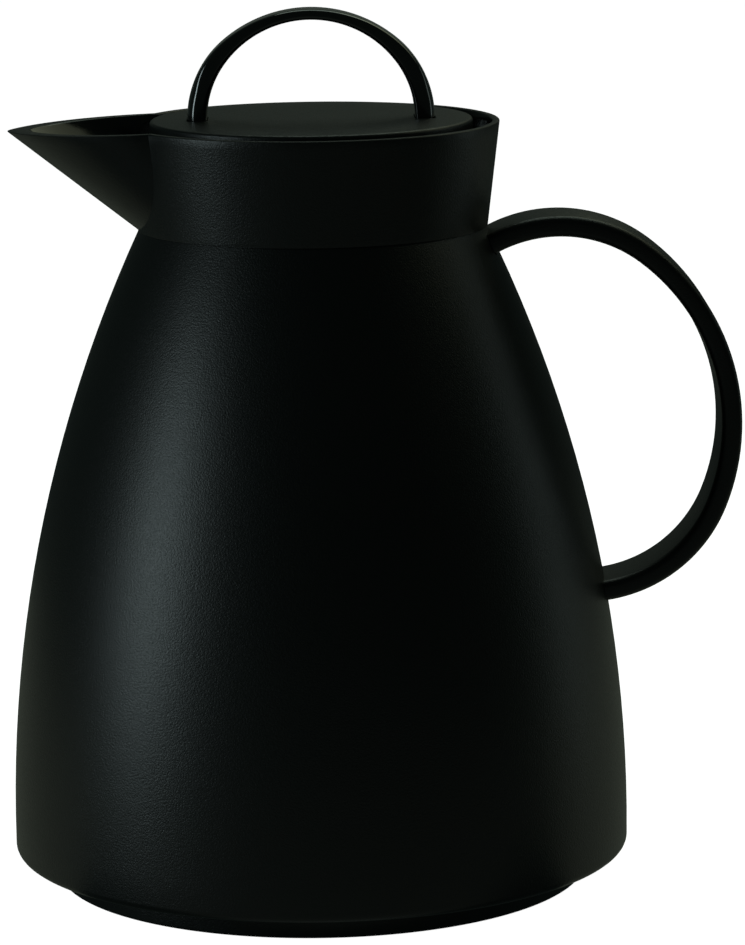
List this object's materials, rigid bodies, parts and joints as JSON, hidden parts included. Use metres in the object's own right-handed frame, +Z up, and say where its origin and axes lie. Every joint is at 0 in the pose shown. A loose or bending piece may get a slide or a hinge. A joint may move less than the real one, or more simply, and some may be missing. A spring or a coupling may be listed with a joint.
{
  "type": "thermal carafe",
  "caption": "Bell-shaped vacuum carafe with a glass liner, a long pouring spout, a strap handle and a screw-in stopper lid turned by the loop on its top.",
  "frame": {"origin": "centre of the foot, on the surface that the carafe stands on", "axes": "+Z up along the body's axis, +X towards the handle, so the spout points to -X, +Y to the side"},
  "size_m": [0.1981, 0.1672, 0.2351],
  "materials": {
    "matte_black_pp": "fine matte grain",
    "black_pp": "satin",
    "gloss_black_abs": "gloss",
    "dark_rubber": "matte",
    "clear_silicone": "milky, satin",
    "liner_glass": "silvered on the vacuum side",
    "spacer_pads": "pressed mineral pad",
    "white_foam": "closed-cell foam",
    "stainless_steel": "plain"
  },
  "bodies": {
    "carafe": {"body_shell": "matte_black_pp", "spout_collar": "matte_black_pp", "handle": "matte_black_pp", "handle_pin": "stainless_steel", "base_cover": "matte_black_pp", "base_seal": "dark_rubber", "base_cushion": "dark_rubber", "flask_outer": "liner_glass", "flask_inner": "liner_glass", "flask_spacers": "spacer_pads", "neck_seal": "clear_silicone", "neck_insert": "black_pp", "collar_gasket": "clear_silicone"},
    "seal": {"stopper_seal": "clear_silicone"},
    "lid": {"lid_cover": "matte_black_pp", "lid_loop": "gloss_black_abs", "loop_screws": "stainless_steel", "stopper_plate": "black_pp", "stopper_body": "black_pp", "stopper_foam": "white_foam", "stopper_cap": "black_pp"}
  },
  "joints": [
    {"name": "stopper_lift", "type": "slide", "parent": "carafe", "child": "seal", "axis": [0, 0, 1], "range_m": [0, 0.01351]},
    {"name": "lid_twist", "type": "hinge", "parent": "seal", "child": "lid", "pos_m": [0, 0, 0.2], "axis": [0, 0, 1], "range_deg": [0, 270]}
  ],
  "couplings": [
    {"joint": "stopper_lift", "follows": "lid_twist", "m_per_rad": 0.0028648}
  ]
}
